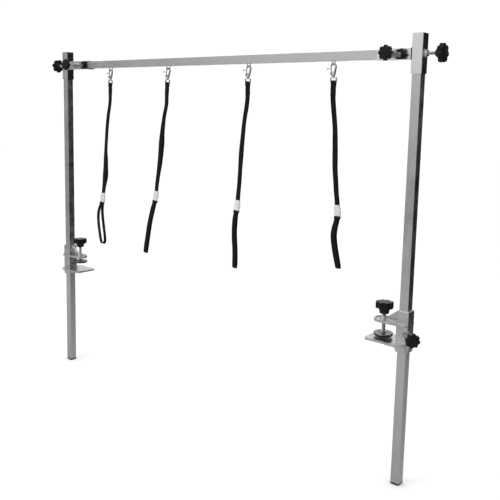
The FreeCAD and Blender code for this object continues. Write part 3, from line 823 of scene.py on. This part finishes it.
def star_knob(name, node, start, direction, size, cap_radius, body):
    """Moulded star knob: round hub, lobed rim with soft edges and a crowned top."""
    diameter, lobes, rim, hub_radius, hub = size
    radius = diameter / 2.0
    notch = math.pi * radius / lobes * 0.62
    reach = radius + notch * 0.35
    step = 2.0 * math.pi / lobes
    blend, soft, crown = 1.4, 2.6, KNOB_CROWN / MM
    top = hub + rim

    def outline(t):
        """Radius of the lobed rim at an angle."""
        off = t % step - step / 2.0
        inside = notch ** 2 - (reach * math.sin(off)) ** 2
        hollow = reach * math.cos(off) - math.sqrt(max(inside, 0.0))
        near = max(blend - abs(radius - hollow), 0.0) / blend
        return min(radius, hollow) - near * near * blend / 4.0

    # Each ring: distance along the axis, round radius, inset from the lobes, share of lobes.
    flare = hub_radius * 1.3
    rings = [(0.0, hub_radius, 0.0, 0.0), (hub * 0.5, hub_radius * 1.10, 0.0, 0.0),
             (hub - 0.9, flare, 0.0, 0.0), (hub, flare + 0.9, 0.0, 0.0),
             (hub, flare + 0.9, soft, 0.5)]
    for i in range(6):
        t = math.radians(18.0 * i)
        rings.append((hub + soft - soft * math.cos(t), 0.0, soft - soft * math.sin(t), 1.0))
    for i in range(6):
        t = math.radians(18.0 * i)
        rings.append((top - soft + soft * math.sin(t), 0.0, soft - soft * math.cos(t), 1.0))
    for i in range(1, 6):
        f = i / 5.0
        rings.append((top + crown * (1.0 - (1.0 - f) ** 2), cap_radius / MM, soft, 1.0 - f))
    a, b = frame_of(direction)
    sides = lobes * 16
    verts = []
    for along, round_radius, inset, share in rings:
        for j in range(sides):
            t = 2.0 * math.pi * j / sides
            r = (outline(t) - inset) * share + round_radius * (1.0 - share)
            verts.append(start + direction * (along * MM) + spoke(a, b, t) * (r * MM))
    obj = piece(name, verts, tube_faces(len(rings), sides), KNOB, body, "knob_black")
    obj.data.set_sharp_from_angle(angle=math.radians(38.0))
    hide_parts(node)


def lock_screw(stem, side, centre, aim, start, hub_at, inside, size, cap_radius):
    """Lock screw and its knob; distances are along the aim from the tube's axis."""
    body = stem + "_" + side
    rod = screw_thread(centre + aim * start, aim, hub_at - start + inside, *M8)
    obj = piece(stem + "_thread_" + side, *rod, SCREW, body, "screw_steel")
    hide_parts(stem + "_screw_" + side)
    hub = centre + aim * hub_at
    bush_and_cap(body, hub, aim, size, 4.0 * MM, cap_radius, body)
    star_knob(stem + "_star_" + side, stem + "_knob_" + side, hub, aim, size, cap_radius,
              body)


def bead(centre, direction, radius, thick, phase):
    """Rippled weld bead around a round piece, on the face it is welded to."""
    a, b = frame_of(direction)
    turns = max(24, int(radius * 2 * math.pi / (0.5 * MM)))
    sides = 8
    verts = []
    for i in range(turns):
        t = 2 * math.pi * i / turns
        outward = spoke(a, b, t)
        swell = thick * (1.0 + 0.16 * math.sin(t * radius / MM * 1.6 + phase))
        for j in range(sides):
            u = 2 * math.pi * j / sides
            verts.append(centre + outward * (radius + swell * math.cos(u))
                         + direction * (swell * math.sin(u)))
    return verts, tube_faces(turns, sides, closed=True)


for side in SIDES:
    x, out = POST_X[side], OUT[side]
    away = Vector((out, 0, 0))
    jaw = CLAMP_Z[side]
    lift = SCREW_RAISE[side]
    screw_x = x - out * SCREW_OFFSET
    low = jaw + DISC_LOW + lift

    # clamping screw, its knob and the collar on the disc
    body = "screw_" + side
    start = Vector((screw_x, 0, low + SCREW_IN_DISC))
    length = (jaw + SCREW_TOP + lift) - start.z
    rod = screw_thread(start, UP, length, *M10)
    obj = piece("clamp_thread_" + side, *rod, SCREW, body, "screw_steel")
    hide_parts("clamp_screw_" + side)
    hub = Vector((screw_x, 0, jaw + CLAMP_HUB + lift))
    bush_and_cap("clamp_knob_" + side, hub, UP, CLAMP_KNOB, 5.0 * MM, 9.5 * MM, body)
    star_knob("clamp_star_" + side, "clamp_knob_" + side, hub, UP, CLAMP_KNOB, 9.5 * MM, body)
    collar = lathe(Vector((screw_x, 0, low + COLLAR_AT)), UP, COLLAR, 32)
    piece("disc_collar_" + side, *collar, NICKEL, "disc_" + side, "zinc_plate")

    # lock screws of the clamp, the head and the crossbar sleeve
    corner = (TUBE_HALF - POST_CHAMFER) * math.sqrt(2.0) + CORNER_GAP
    lock_screw("clamp_lock", side, Vector((x, 0, jaw + LOCK_Z)),
               Vector((out, -out, 0)).normalized(), corner, 0.053, 0.013, LOCK_KNOB, 7.0 * MM)
    centre = Vector((x, 0, BAR_Z))
    spot = centre - away * BAR_LOCK_IN
    reach = TUBE_HALF + SCREW_GAP
    lock_screw("head_lock", side, centre, away, reach, 0.045, 0.015, HEAD_KNOB, 9.0 * MM)
    lock_screw("bar_lock", side, spot, FRONT, reach, 0.044, 0.012, BAR_KNOB, 7.0 * MM)

    # weld beads round both nuts and where the crossbar sleeve meets the head
    beads = [bead(centre + away * 0.0153, away, 9.9 * MM, 0.9 * MM, 0.4),
             bead(spot + FRONT * 0.0153, FRONT, 9.4 * MM, 0.9 * MM, 1.9),
             bead(centre - away * 0.0156, away, 6.3 * MM, 0.75 * MM, 3.0)]
    piece("weld_beads_" + side, *joined(beads), WELD, "head_" + side, "screw_steel")

beads = []
for k in LOOPS:
    for y in (-7.0, 7.0):
        foot = Vector((EYE_AT[k], y * MM, BAR_Z - 0.0126))
        beads.append(bead(foot, UP, 1.9 * MM, 0.6 * MM, k + y))
piece("eye_weld_beads", *joined(beads), WELD, "crossbar", "screw_steel")


# ---- floor and light ---------------------------------------------------------------------

FLOOR_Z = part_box("post_foot_plug_right")[0].z - 0.002
FLOOR_HALF = 14.0
# What the metal shows in place of the floor: its edges and its level.
CARD_X = (-3.2, 1.9)
CARD_Y = (-2.4, 1.6)
CARD_Z = FLOOR_Z - 0.004
# Light in front of the posts, grey behind them and dark further back:
# from and to along Y, and the two values, multiplied together.
CARD_SHADES = ((-0.6, 0.4, 0.62, 0.38), (0.98, 1.18, 1.0, 0.06))
# Surroundings in the metal: value, direction, and the cosines where it starts and is full.
STUDIO_GREY = 0.38
STUDIO_SIDES = ((0.86, (-0.35, -0.75, 0.56), 0.755, 0.875),
                (0.95, (-0.62, 0.78, 0.15), 0.50, 0.80),
                (0.85, (0.0, 0.0, 1.0), 0.55, 0.85),
                (0.01, (0.43, 0.88, -0.08), 0.925, 0.965),
                (0.01, (0.80, 0.59, -0.06), 0.945, 0.972))
STUDIO_WHITE = 1.04


def flat_stage(name, x_ends, y_ends, level, material):
    """Flat rectangle that belongs to the stage."""
    (x0, x1), (y0, y1) = x_ends, y_ends
    mesh = bpy.data.meshes.new(name)
    mesh.from_pydata([(x0, y0, level), (x1, y0, level), (x1, y1, level), (x0, y1, level)],
                     [], [(0, 1, 2, 3)])
    mesh.materials.append(material)
    obj = bpy.data.objects.new(name, mesh)
    bpy.context.scene.collection.objects.link(obj)
    return obj


def make_floor():
    """Pale floor, and the grey card that the metal shows in its place."""
    finish = Finish("floor_paint")
    finish.set(Specular_IOR_Level=0.0)
    cloud = finish.noise(grey(1.5), 2.0, 0.5)
    finish.tint(cloud, grey(0.985), grey(0.99), 0.3, 0.7)
    finish.spread(cloud, 0.75, 0.85, "Roughness", 0.3, 0.7)
    ends = (-FLOOR_HALF, FLOOR_HALF)
    floor = flat_stage("floor", ends, ends, FLOOR_Z, finish.material)
    floor.visible_glossy = False

    material = bpy.data.materials.new("floor_in_metal")
    material.use_nodes = True
    tree = material.node_tree
    tree.nodes.clear()
    out = tree.nodes.new("ShaderNodeOutputMaterial")
    glow = tree.nodes.new("ShaderNodeEmission")
    where = tree.nodes.new("ShaderNodeTexCoord")
    split = tree.nodes.new("ShaderNodeSeparateXYZ")
    tree.links.new(where.outputs["Object"], split.inputs["Vector"])
    shares = []
    for start, stop, low, high in CARD_SHADES:
        ramp = tree.nodes.new("ShaderNodeMapRange")
        ramp.inputs["From Min"].default_value = start
        ramp.inputs["From Max"].default_value = stop
        ramp.inputs["To Min"].default_value = low
        ramp.inputs["To Max"].default_value = high
        tree.links.new(split.outputs["Y"], ramp.inputs["Value"])
        shares.append(ramp.outputs["Result"])
    both = tree.nodes.new("ShaderNodeMath")
    both.operation = "MULTIPLY"
    tree.links.new(shares[0], both.inputs[0])
    tree.links.new(shares[1], both.inputs[1])
    tree.links.new(both.outputs["Value"], glow.inputs["Strength"])
    tree.links.new(glow.outputs["Emission"], out.inputs["Surface"])
    shown = flat_stage("floor_in_metal", CARD_X, CARD_Y, CARD_Z, material)
    shown.visible_camera = False
    shown.visible_diffuse = False
    shown.visible_shadow = False
    shown.visible_transmission = False


def area_light(name, at, target, size, power):
    """Soft rectangular light aimed at a point."""
    data = bpy.data.lights.new(name, "AREA")
    data.shape = "RECTANGLE"
    data.size, data.size_y = size
    data.energy = power
    obj = bpy.data.objects.new(name, data)
    bpy.context.scene.collection.objects.link(obj)
    obj.location = at
    obj.rotation_euler = (Vector(target) - Vector(at)).to_track_quat("-Z", "Y").to_euler()


def make_world():
    """White surroundings; the metal shows a grey studio with light and dark sides."""
    world = bpy.data.worlds.new("studio")
    world.use_nodes = True
    tree = world.node_tree
    tree.nodes.clear()
    out = tree.nodes.new("ShaderNodeOutputWorld")
    light = tree.nodes.new("ShaderNodeBackground")
    light.inputs["Color"].default_value = (1.0, 1.0, 1.0, 1.0)
    where = tree.nodes.new("ShaderNodeTexCoord")
    path = tree.nodes.new("ShaderNodeLightPath")

    def towards(direction, start, stop):
        """0..1 for how near a ray is to a direction, between two cosines."""
        dot = tree.nodes.new("ShaderNodeVectorMath")
        dot.operation = "DOT_PRODUCT"
        dot.inputs[1].default_value = Vector(direction).normalized()
        tree.links.new(where.outputs["Generated"], dot.inputs[0])
        span = tree.nodes.new("ShaderNodeMapRange")
        span.interpolation_type = "SMOOTHSTEP"
        span.inputs["From Min"].default_value = start
        span.inputs["From Max"].default_value = stop
        tree.links.new(dot.outputs["Value"], span.inputs["Value"])
        return span.outputs["Result"]

    def blended(below, value, share):
        """A value over a shade, which is a number or a socket, by a share."""
        mix = tree.nodes.new("ShaderNodeMix")
        mix.data_type = "FLOAT"
        if isinstance(below, float):
            mix.inputs[2].default_value = below
        else:
            tree.links.new(below, mix.inputs[2])
        mix.inputs[3].default_value = value
        tree.links.new(share, mix.inputs[0])
        return mix.outputs[0]

    shade = STUDIO_GREY
    for value, direction, start, stop in STUDIO_SIDES:
        shade = blended(shade, value, towards(direction, start, stop))
    final = tree.nodes.new("ShaderNodeMix")
    final.data_type = "FLOAT"
    final.inputs[2].default_value = STUDIO_WHITE
    tree.links.new(shade, final.inputs[3])
    tree.links.new(path.outputs["Is Glossy Ray"], final.inputs[0])
    tree.links.new(final.outputs[0], light.inputs["Strength"])
    tree.links.new(light.outputs["Background"], out.inputs["Surface"])
    bpy.context.scene.world = world


make_floor()
make_world()
area_light("key", (-1.6, -2.6, 2.6), (-0.6, 0.0, 0.4), (1.6, 1.2), 20.0)
bpy.context.scene.view_settings.view_transform = "Standard"
